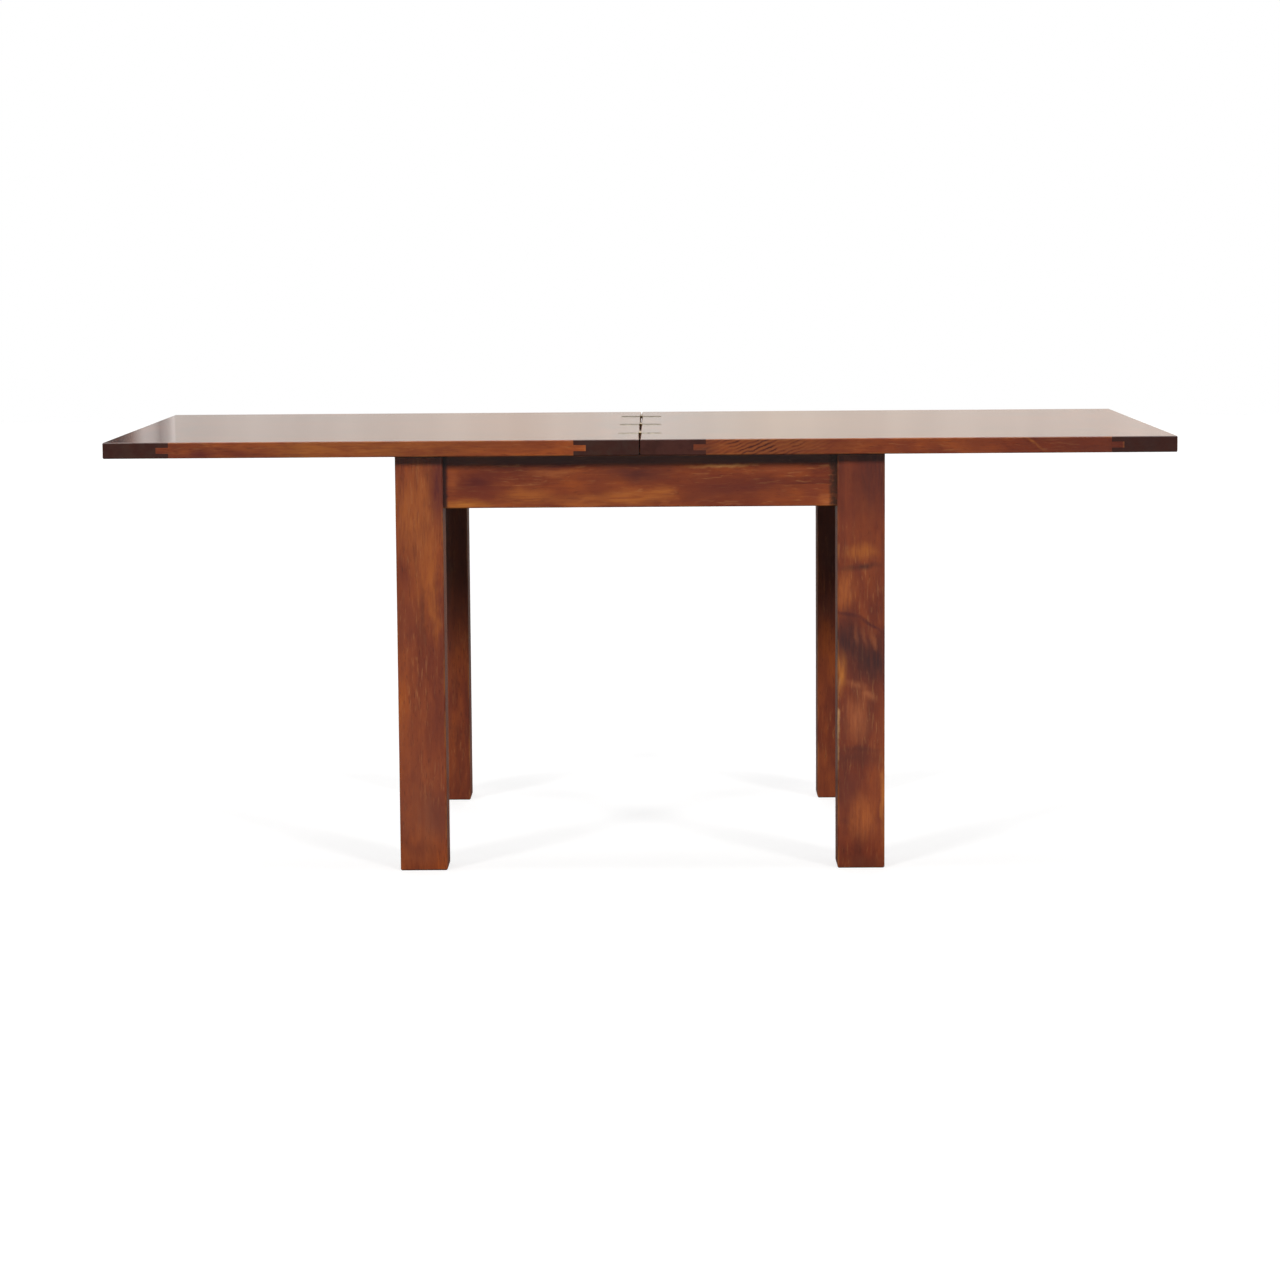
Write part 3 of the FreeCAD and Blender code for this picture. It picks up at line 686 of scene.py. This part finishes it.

# %% [markdown]
# ## The base
#
# The posts' grain runs upright. The front right one came from near a fork, so dark swirls
# cross it, and the left one has a long orange streak. The front faces of the back posts get
# painted shade towards the top, for the shadow of the apron and the leaves.

# %% Posts
POST_MARKS = {
    "leg_front_left": [
        (-0.365, 0.580, 0.034, 0.230, 0, "#9c582a", 0.5),
        (-0.392, 0.610, 0.060, 0.110, 0, "#a55c2b", 0.6),
        (-0.341, 0.660, 0.020, 0.110, 0, "#4f2020", 0.95),
        (-0.371, 0.440, 0.009, 0.090, 0, "#4a2018", 0.8),
        (-0.350, 0.470, 0.012, 0.120, 2, "#a45c28", 0.7),
        (-0.396, 0.420, 0.030, 0.120, 0, "#6c3424", 0.4),
        (-0.400, 0.200, 0.060, 0.110, 0, "#7a3c24", 0.4),
        (-0.345, 0.100, 0.034, 0.060, 0, "#552520", 0.6),
        (-0.390, 0.020, 0.060, 0.030, 0, "#8c4a2c", 0.5),
        (-0.372, 0.090, 0.060, 0.110, 0, "#6f3e2c", 0.65),
    ],
    "leg_front_right": [
        (0.396, 0.672, 0.060, 0.120, 0, "#47201d", 0.9),
        (0.350, 0.640, 0.020, 0.120, 0, "#7c3a24", 0.5),
        (0.372, 0.542, 0.040, 0.020, 0, "#a05a26", 0.9),
        (0.372, 0.516, 0.052, 0.010, 3, "#41201a", 1.0),
        (0.348, 0.476, 0.024, 0.056, -8, "#a85c2b", 0.8),
        (0.352, 0.434, 0.030, 0.006, -10, "#42191a", 1.0),
        (0.388, 0.418, 0.036, 0.006, -34, "#42191a", 0.9),
        (0.352, 0.388, 0.056, 0.058, 0, "#301a1b", 1.0),
        (0.392, 0.352, 0.062, 0.054, -20, "#341b1b", 1.0),
        (0.366, 0.402, 0.006, 0.028, 6, "#874a2e", 0.6),
        (0.379, 0.396, 0.006, 0.028, 10, "#874a2e", 0.6),
        (0.393, 0.388, 0.006, 0.026, 14, "#8a4c2e", 0.7),
        (0.338, 0.335, 0.014, 0.052, 0, "#b06c2e", 0.85),
        (0.366, 0.316, 0.030, 0.012, -20, "#9a5936", 0.7),
        (0.384, 0.296, 0.024, 0.012, -28, "#9a5936", 0.7),
        (0.366, 0.256, 0.030, 0.060, 0, "#a25c36", 0.8),
        (0.360, 0.190, 0.085, 0.024, -2, "#4c241c", 0.7),
        (0.374, 0.204, 0.060, 0.008, -2, "#401e19", 0.5),
        (0.350, 0.130, 0.036, 0.060, 0, "#592a20", 0.6),
        (0.376, 0.088, 0.034, 0.056, 0, "#a4592b", 0.85),
        (0.411, 0.120, 0.008, 0.100, 0, "#b06a2e", 0.9),
        (0.371, 0.006, 0.080, 0.030, 0, "#5c3024", 0.7),
        (0.3335, 0.250, 0.005, 0.120, 0, "#c8a070", 0.9, 0.006),
    ],
}


def shoulder_painted_shade(tree, place, colour):
    """Painted shade on the front of a back post: a dark grey, deepest towards the top, for the shadow of
    the apron and the leaves.
    """
    _, y, z = axes(tree, place)
    height = total(tree, z, ease(tree, specks(tree, place, 16), 0.3, 0.7, -0.03, 0.03))
    upper, front = ease(tree, height, 0.26, 0.50, 0.15, 0.52), ease(tree, y, 0.340, 0.336)
    # The grey laid over the upper front of a back post is painted shade.
    return lay(tree, colour, shade("#403c3a"), upper, front)


POST_TONES = {"front_left": 0.0, "front_right": -0.085, "back_right": -0.03, "back_left": -0.05}
for index, (corner, tone) in enumerate(POST_TONES.items()):
    node = f"leg_{corner}"
    look = {"tone": tone, "coat": 0.45}
    if corner.startswith("back"):
        look["extra"] = shoulder_painted_shade
    else:
        look["marks"] = POST_MARKS[node]
    dress(node, stained_wood(f"wood_{node}", "Z", *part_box(node), 60.2 + index * 5.3, **look))
print(len(POST_TONES), "posts dressed")

# %% [markdown]
# The aprons' grain runs lengthwise. The front one is glued from shorter strips: its pattern
# jumps along one long joint, and once more where two pieces meet end to end below it. Its
# top gets painted shadow from the leaves' overhang, and its ends painted shade in the corners
# by the posts. The other three get the plain finish.

# %% Aprons
STRIP_LINE, STRIP_END = 0.656, 0.066
LOWER_SHIFT, END_SHIFT = 4.7, 7.9


def glued_strips(tree, place):
    """Shift the pattern in the lower strip, and again past its joint."""
    x, _, z = axes(tree, place)
    lower = sums(tree, "LESS_THAN", z, STRIP_LINE)
    past = product(tree, lower, sums(tree, "GREATER_THAN", x, STRIP_END))
    shift = total(tree, product(tree, lower, LOWER_SHIFT), product(tree, past, END_SHIFT))
    return add(tree, "ShaderNodeCombineXYZ", {0: shift, 1: shift, 2: shift}).outputs[0]


APRON_MARKS = [
    (-0.275, 0.664, 0.062, 0.034, 0, "#53201b", 1.0),
    (-0.268, 0.640, 0.046, 0.022, 0, "#64291d", 0.6),
    (-0.316, 0.664, 0.016, 0.030, 0, "#8f4a28", 0.7),
    (-0.300, 0.624, 0.080, 0.014, 0, "#ac682b", 0.9),
    (-0.190, 0.636, 0.070, 0.024, 0, "#a25c29", 0.75),
    (-0.100, 0.628, 0.070, 0.018, 0, "#a45d2a", 0.75),
    (-0.150, 0.678, 0.070, 0.012, 0, "#9e5a30", 0.6),
    (-0.085, 0.664, 0.060, 0.016, 0, "#63291d", 0.7),
    (-0.006, 0.676, 0.095, 0.028, 0, "#4c221d", 0.95),
    (-0.070, 0.648, 0.050, 0.016, 0, "#5f281d", 0.7),
    (-0.020, 0.634, 0.090, 0.022, 0, "#a55e2a", 0.9),
    (0.034, 0.640, 0.040, 0.022, 0, "#a55e2a", 0.9),
    (0.140, 0.687, 0.080, 0.005, 2, "#b57844", 1.0),
    (0.110, 0.636, 0.050, 0.024, 0, "#6a3020", 0.6),
    (0.170, 0.652, 0.150, 0.024, 0, "#57241d", 0.85),
    (0.240, 0.680, 0.070, 0.014, 0, "#8a4427", 0.5),
    (0.290, 0.640, 0.030, 0.026, 0, "#6a2c20", 0.6),
    (0.312, 0.626, 0.018, 0.018, 0, "#ad6232", 0.9),
]



def apron_painted_shade(tree, place, colour):
    """Painted shadow along the apron's top, under the leaves' overhang, and painted shade at its ends in
    the corners by the posts.
    """
    x, _, z = axes(tree, place)
    # Painted shadow of the leaves' overhang along the apron's top.
    colour = blend(tree, ease(tree, z, 0.6895, 0.6955, 0.0, 0.5), colour, shade("#454042"))
    # Painted shade in the corners by the posts, with ragged edges.
    blotch = specks(tree, place, 190, detail=4)
    ragged = total(tree, x, ease(tree, blotch, 0.3, 0.7, -0.001, 0.001))
    left, right = ease(tree, ragged, -0.3225, -0.3300), ease(tree, ragged, 0.3170, 0.3245)
    mottle = ease(tree, blotch, 0.35, 0.6, 0.6, 0.9)
    colour = lay(tree, colour, shade("#29171a"), left, 0.9)
    return lay(tree, colour, shade("#3a2318"), right, mottle)


APRON_GRAIN = {"front": "X", "back": "X", "left": "Y", "right": "Y"}
for index, (name, grain) in enumerate(APRON_GRAIN.items()):
    node = f"apron_{name}"
    look = {"tone": -0.02, "flecks": 0.27}
    if name == "front":
        look |= {"marks": APRON_MARKS, "layers": glued_strips, "extra": apron_painted_shade}
    dress(node, stained_wood(f"wood_{node}", grain, *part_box(node), 83.4 + index * 6.1, **look))
print(len(APRON_GRAIN), "aprons dressed")

# %% [markdown]
# Braces, guide rails and runners hide under the top. A maker gives them one thin coat of a
# paler stain, so one loop dresses them all, and only the way of the grain differs.

# %% Hidden frame
FRAME_STARTS = ("corner_brace_", "guide_rail_", "runner_")
hidden_wood = sorted(
    name for name in nodes if name.startswith(FRAME_STARTS) and not name.endswith("screws")
)
look = {"tone": 0.05, "coat": 0.1}
for index, node in enumerate(hidden_wood):
    grain = "Y" if node.startswith("corner") else "X"
    dress(node, stained_wood(f"wood_{node}", grain, *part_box(node), 121.7 + index * 2.9, **look))
print(len(hidden_wood), "hidden pieces dressed")

# %% [markdown]
# ## Metal
#
# The hinge plates are brass that sleeves and cloths keep rubbed, with duller patches
# between, and their pins are old brass that nobody polishes. Some plates are darker and
# rougher in a band along their rear edge. The screws are zinc-plated steel. A metal's
# colour is the colour of its reflections, so tarnish and that darker band change the
# roughness together with the colour.

# %% Tarnished metal
TARNISHED, CLEAN = 0.38, 0.64
REAR_BAND_COLOUR = shade("#6a5638")


def metal(name, light, dark, smooth, dull, patches=110, rear_band=None):
    """A worn metal, darker and rougher in a band given as (the rear edge along Y, how far it reaches)."""
    made, tree = new_material(name)
    place = coordinates(tree)
    wide, fine = specks(tree, place, patches), specks(tree, place, 420, detail=4)
    tarnish = total(tree, product(tree, wide, 0.7), product(tree, fine, 0.3))
    colour = ramp(tree, tarnish, [(TARNISHED, shade(dark)), (CLEAN, shade(light))])
    rough = ease(tree, tarnish, TARNISHED, CLEAN, dull, smooth)
    # A darker, rougher band along the plate's rear edge.
    if rear_band:
        edge, width = rear_band
        away = sums(tree, "SUBTRACT", edge, axes(tree, place)["Y"])
        patchy = ease(tree, wide, 0.36, 0.54, 0.0, 0.75)
        banded = product(tree, ease(tree, away, width, width * 0.6), patchy)
        colour = blend(tree, banded, colour, REAR_BAND_COLOUR)
        rough = total(tree, rough, product(tree, banded, 0.50))
    brushed = noise(tree, place, 60, 3200, detail=2)
    bump = add(tree, "ShaderNodeBump", {"Strength": 0.25, "Distance": 0.0001, "Height": brushed}).outputs[0]
    given = {"Base Color": colour, "Metallic": 1.0, "Roughness": rough, "Normal": bump}
    surface(tree, add(tree, "ShaderNodeBsdfPrincipled", given))
    print("metal", name)
    return made


old_brass = metal("old_brass", "#8f7850", "#55442f", 0.30, 0.48)
zinc_steel = metal("zinc_steel", "#b4b3ad", "#716f69", 0.28, 0.50, patches=90)

# %% [markdown]
# ## Hinge plates
#
# Each hinge is a pair of flat plates let into the leaves, with their outer corners cut off
# and three countersunk holes each. A flat sheet with holes is made fastest from its edges:
# closed loops for the outline and the holes, filled between them. Loops that lie above each
# other are bridged, which gives the rim its fine bevel and the holes their cones.

# %% Loops of edges
PLATE_LENGTH, PLATE_REACH, PLATE_START = 0.050, 0.0368, 0.0029
PLATE_THICKNESS, PLATE_CORNER, PLATE_BEVEL = 0.002, 0.005, 0.0003
HOLES = ((-0.0148, -0.015), (-0.0148, 0.015), (-0.02812, 0))
HOLE_TOP, HOLE_BOTTOM, HOLE_SIDES = 0.0034, 0.0018, 20
END_CLEARANCE = 0.0002


def plate_loop(bm, height, inset):
    """The plate's outline, as edges at a height."""
    left, right = inset - PLATE_REACH, -PLATE_START - inset
    side, cut = PLATE_LENGTH / 2 - END_CLEARANCE - inset, PLATE_CORNER - inset / 2
    half = [(right, side), (left + cut, side), (left, side - cut)]
    corners = half + [(x, -y) for x, y in reversed(half)]
    verts = [bm.verts.new((x, y, height)) for x, y in corners]
    return [bm.edges.new(pair) for pair in zip(verts, verts[1:] + verts[:1])]


def hole_loops(bm, height, radius):
    """The holes' rims, each as a list of edges."""
    loops = []
    for x, y in HOLES:
        given = {"segments": HOLE_SIDES, "radius": radius, "matrix": Matrix.Translation((x, y, height))}
        made = bmesh.ops.create_circle(bm, cap_ends=False, **given)
        loops.append(list({edge for vert in made["verts"] for edge in vert.link_edges}))
    return loops


print("plate", round(PLATE_REACH - PLATE_START, 4), "m wide")

# %% [markdown]
# The outline is drawn at the foot, under the bevel and a little smaller at the top, and
# each hole wide at the top and narrow below. Bridging joins the loops into walls, and the
# two flat faces are filled from the rim to the holes. No boolean has to cut a hole.

# %% One plate
def plate(bm):
    """A hinge plate to the left of the pin, with its top at height 0."""
    low, high = -PLATE_THICKNESS, 0
    foot = plate_loop(bm, low, 0)
    shoulder = plate_loop(bm, high - PLATE_BEVEL, 0)
    crown = plate_loop(bm, high, PLATE_BEVEL)
    tops, bottoms = hole_loops(bm, high, HOLE_TOP), hole_loops(bm, low, HOLE_BOTTOM)
    for first, second in [(foot, shoulder), (shoulder, crown), *zip(tops, bottoms)]:
        bmesh.ops.bridge_loops(bm, edges=first + second)
    for rim, holes in ((crown, tops), (foot, bottoms)):
        edges = rim + [edge for loop in holes for edge in loop]
        bmesh.ops.triangle_fill(bm, use_beauty=True, use_dissolve=False, edges=edges)


# %% [markdown]
# The plates meet in three knuckles round a pin. A knuckle is a short tube, and a tube is a
# small closed profile spun about its axis. The left plate has the two outer knuckles and the
# right plate the middle one, with a hair's breadth between them.

# %% Knuckles and pin
KNUCKLE_RADIUS, KNUCKLE_GAP, ROUNDING = 0.0026, 0.0003, 0.0004
PIN_RADIUS, PIN_RISE, BORE_CLEARANCE = 0.0012, 0.0005, 0.0001
KNUCKLE_LENGTH = (PLATE_LENGTH - 2 * KNUCKLE_GAP) / 3
STRAP_REACH, STRAP_THICKNESS = PLATE_START - 0.0012, PLATE_THICKNESS - 0.0001
SPIN_STEPS = 28


def spun(bm, profile, closed):
    """A profile of (radius, place along the pin) spun round the pin's axis."""
    verts = [bm.verts.new((radius, along, PIN_RISE)) for radius, along in profile]
    ends = verts[1:] + verts[:1] if closed else verts[1:]
    edges = [bm.edges.new(pair) for pair in zip(verts, ends)]
    bmesh.ops.spin(
        bm, geom=verts + edges, cent=(0, 0, PIN_RISE), axis=(0, 1, 0),
        angle=2 * math.pi, steps=SPIN_STEPS, use_merge=True,
    )


def knuckle(bm, place):
    """The first, second or third knuckle, with the strap that joins it to its plate."""
    start = -PLATE_LENGTH / 2 + place * (KNUCKLE_LENGTH + KNUCKLE_GAP)
    end, bore, skin = start + KNUCKLE_LENGTH, PIN_RADIUS + BORE_CLEARANCE, KNUCKLE_RADIUS
    spun(bm, [
        (bore, start), (skin - ROUNDING, start), (skin, start + ROUNDING),
        (skin, end - ROUNDING), (skin - ROUNDING, end), (bore, end),
    ], True)
    strap = bmesh.ops.create_cube(bm, size=1)["verts"]
    bmesh.ops.scale(bm, vec=(STRAP_REACH, KNUCKLE_LENGTH, STRAP_THICKNESS), verts=strap)
    middle = (-PLATE_START + STRAP_REACH / 2, (start + end) / 2, -PLATE_THICKNESS / 2)
    bmesh.ops.translate(bm, vec=middle, verts=strap)


def pin(bm):
    """The pin, with its ends rounded off."""
    end, cap = PLATE_LENGTH / 2 - 0.0001, PIN_RADIUS * 0.7
    spun(bm, [
        (0, -end), (cap, -end), (PIN_RADIUS, ROUNDING - end),
        (PIN_RADIUS, end - ROUNDING), (cap, end), (0, end),
    ], False)


def metal_piece(bm, name, body, node, finish):
    """Clean a mesh, and let it ride on a body in a CAD node's place."""
    bmesh.ops.remove_doubles(bm, verts=bm.verts, dist=0.000001)
    bmesh.ops.recalc_face_normals(bm, faces=bm.faces)
    piece = object_from(bm, name)
    piece.data.materials.append(finish)
    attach(piece, body)
    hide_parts(node)
    print(name, "in place of", node)


# %% [markdown]
# Both halves of a hinge are made where the left one lies. The right one is then turned half
# round about the upright axis through the middle of the pin, and that puts its knuckle
# between the other two. Each hinge's seat is read from its CAD pin, so the plates stay flush
# with the leaves. The plates shine, but the middle and the back hinge are darker along the
# rear edge, so each hinge has a finish of its own.

# %% The three hinges
REAR_BAND_WIDTHS = {"front": 0, "middle": 0.021, "back": 0.030}
HALF_TURN = Matrix.Rotation(math.pi, 3, "Z")
for spot, rear_band_width in REAR_BAND_WIDTHS.items():
    low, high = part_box(f"hinge_pin_{spot}")
    along = (low[1] + high[1]) / 2
    top = (low[2] + high[2]) / 2 - PIN_RISE
    seat = Matrix.Translation((0, along, top))
    rear_band = (along + PLATE_LENGTH / 2, rear_band_width) if rear_band_width else None
    brass = metal(f"rubbed_brass_{spot}", "#b8a078", "#8c7854", 0.14, 0.26, rear_band=rear_band)
    for side, body, places in (("left", "carrier_leaf", (0, 2)), ("right", "flap_leaf", (1,))):
        bm = bmesh.new()
        plate(bm)
        for place in places:
            knuckle(bm, place)
        if side == "right":
            bmesh.ops.rotate(bm, cent=(0, 0, 0), matrix=HALF_TURN, verts=bm.verts)
        bmesh.ops.transform(bm, matrix=seat, verts=bm.verts)
        node = f"{side}_hinge_plate_{spot}"
        metal_piece(bm, f"hinge_leaf_{side}_{spot}", body, node, brass)
    bm = bmesh.new()
    pin(bm)
    bmesh.ops.transform(bm, matrix=seat, verts=bm.verts)
    metal_piece(bm, f"hinge_rod_{spot}", "carrier_leaf", f"hinge_pin_{spot}", old_brass)

# %% [markdown]
# ## Screws
#
# A countersunk screw starts as a disc. Cutting it along a few planes marks out a cross, which
# is pushed in for the driver. The open rim is then drawn down again and again: to the edge
# of the head, down the cone, and along the thread to the tip. One screw is modelled for each
# group and copied to every place where the CAD model has one.

# %% One screw
HEAD_SIDES, FACE_SHARE, RIM_DROP = 24, 0.95, 0.05
CROSS_WIDTH, CROSS_REACH, CROSS_DEPTH, CROSS_TAPER = 0.13, 0.58, 0.5, 0.55
THREAD_END, THREAD_CORE, TIP_SHARE = 0.85, 0.72, 0.1


def drawn_down(bm, radius, height):
    """Extrude the open rim to another radius and height."""
    rim = [edge for edge in bm.edges if edge.is_boundary]
    made = bmesh.ops.extrude_edge_only(bm, edges=rim)["geom"]
    verts = [item for item in made if isinstance(item, bmesh.types.BMVert)]
    for vert in verts:
        flat = vert.co.xy.normalized() * radius
        vert.co = (flat.x, flat.y, height)
    return verts


def driver_cross(bm, head):
    """Cut a cross into a disc and push it in."""
    width, reach = head * CROSS_WIDTH, head * CROSS_REACH
    for step in (-reach, -width, width, reach):
        for across in (Vector((1, 0, 0)), Vector((0, 1, 0))):
            everything = bm.verts[:] + bm.edges[:] + bm.faces[:]
            bmesh.ops.bisect_plane(bm, geom=everything, plane_co=across * step, plane_no=across)
    cross = []
    for face in bm.faces:
        near, far = sorted(abs(c) for c in face.calc_center_median().xy)
        if near < width and far < reach:
            cross.append(face)
    made = bmesh.ops.extrude_face_region(bm, geom=cross)["geom"]
    deep = [item for item in made if isinstance(item, bmesh.types.BMVert)]
    bmesh.ops.scale(bm, vec=(CROSS_TAPER, CROSS_TAPER, 1), verts=deep)
    bmesh.ops.translate(bm, vec=(0, 0, -head * CROSS_DEPTH), verts=deep)


def screw_mesh(shank, head, length):
    """A screw with its head's face at height 0, from the radii of its shank and its head."""
    bm = bmesh.new()
    bmesh.ops.create_circle(bm, cap_ends=True, segments=HEAD_SIDES, radius=head * FACE_SHARE)
    driver_cross(bm, head)
    cone = head - shank
    drawn_down(bm, head, -head * RIM_DROP)
    drawn_down(bm, shank, -cone)
    turns = round(length / shank)
    for turn in range(turns):
        depth = cone + (length * THREAD_END - head + shank) * (turn + 1) / turns
        drawn_down(bm, shank * (THREAD_CORE if turn % 2 == 0 else 1.0), -depth)
    tip = drawn_down(bm, shank * TIP_SHARE, -length)
    rim = list({edge for vert in tip for edge in vert.link_edges if edge.is_boundary})
    bmesh.ops.contextual_create(bm, geom=rim)
    bmesh.ops.recalc_face_normals(bm, faces=bm.faces)
    mesh = bpy.data.meshes.new("screw")
    bm.to_mesh(mesh)
    bm.free()
    return mesh


# %% [markdown]
# The places are read from the CAD screws. Each one is a separate shell: its tip is the point
# farthest from the shell's middle, and its head's rim is what lies farthest from the tip.

# %% Where the screws are
def shells(bm):
    """The points of each connected shell of a mesh."""
    seen = set()
    for start in bm.verts:
        if start in seen:
            continue
        seen.add(start)
        row = [start]
        for vert in row:
            for edge in vert.link_edges:
                other = edge.other_vert(vert)
                if other not in seen:
                    seen.add(other)
                    row.append(other)
        yield [vert.co.copy() for vert in row]


def screw_seats(node, rim_count=8):
    """(middle of the head, tip, head radius) of each screw in a CAD group."""
    bm = bmesh.new()
    bm.from_mesh(nodes[node].data)
    bmesh.ops.remove_doubles(bm, verts=bm.verts, dist=0.00001)
    seats = []
    for points in shells(bm):
        middle = sum(points, Vector()) / len(points)
        tip = max(points, key=lambda point: (point - middle).length)
        rim = sorted(points, key=lambda point: -(point - tip).length)[:rim_count]
        head = sum(rim, Vector()) / rim_count
        seats.append((head, tip, (rim[0] - head).length))
    bm.free()
    return seats


SHANK_SHARE, HEAD_SHARE, TWIST = 0.5, 0.98, 1.1
SCREW_GROUPS = {
    "corner_brace_screws": "base",
    "guide_rail_screws": "base",
    "runner_screws": "carrier_leaf",
    "left_hinge_screws": "carrier_leaf",
    "right_hinge_screws": "flap_leaf",
}
for node, body in SCREW_GROUPS.items():
    seats = screw_seats(node)
    head, tip, radius = seats[0]
    template = screw_mesh(radius * SHANK_SHARE, radius * HEAD_SHARE, (tip - head).length)
    bm = bmesh.new()
    for index, (head, tip, _) in enumerate(seats):
        count = len(bm.verts)
        bm.from_mesh(template)
        bm.verts.ensure_lookup_table()
        turn = (head - tip).to_track_quat("Z", "Y").to_matrix().to_4x4()
        twist = Matrix.Rotation(index * TWIST, 4, "Z")
        seat = Matrix.Translation(head) @ turn @ twist
        bmesh.ops.transform(bm, matrix=seat, verts=bm.verts[count:])
    metal_piece(bm, f"driven_{node}", body, node, zinc_steel)
    bpy.data.meshes.remove(template)
    print(node, len(seats), "screws, head radius", round(radius * 1000, 2), "mm")

# %% [markdown]
# ## Felt
#
# The leaves glide on two strips of brown felt. Felt has no threads, so fine noise gives both
# its colour and its fuzz. It hardly mirrors anything, so its roughness is high and its
# reflection faint.

# %% Felt
felt, tree = new_material("brown_felt")
fibre = specks(tree, coordinates(tree), 900, detail=4)
colour = ramp(tree, fibre, [(0.35, shade("#3a2616")), (0.65, shade("#64452c"))])
bump = add(tree, "ShaderNodeBump", {"Strength": 0.8, "Distance": 0.0006, "Height": fibre}).outputs[0]
given = {"Base Color": colour, "Roughness": 0.95, "Specular IOR Level": 0.1, "Normal": bump}
surface(tree, add(tree, "ShaderNodeBsdfPrincipled", given))
for node in ("glide_strip_front", "glide_strip_back"):
    dress(node, felt)
    print(node, "dressed")

# %% [markdown]
# ## Finish
#
# The render shows the colours as they are, in the Standard view.

# %% Finish
print("size of the dressed table and the CAD model written")
bpy.context.scene.view_settings.view_transform = "Standard"
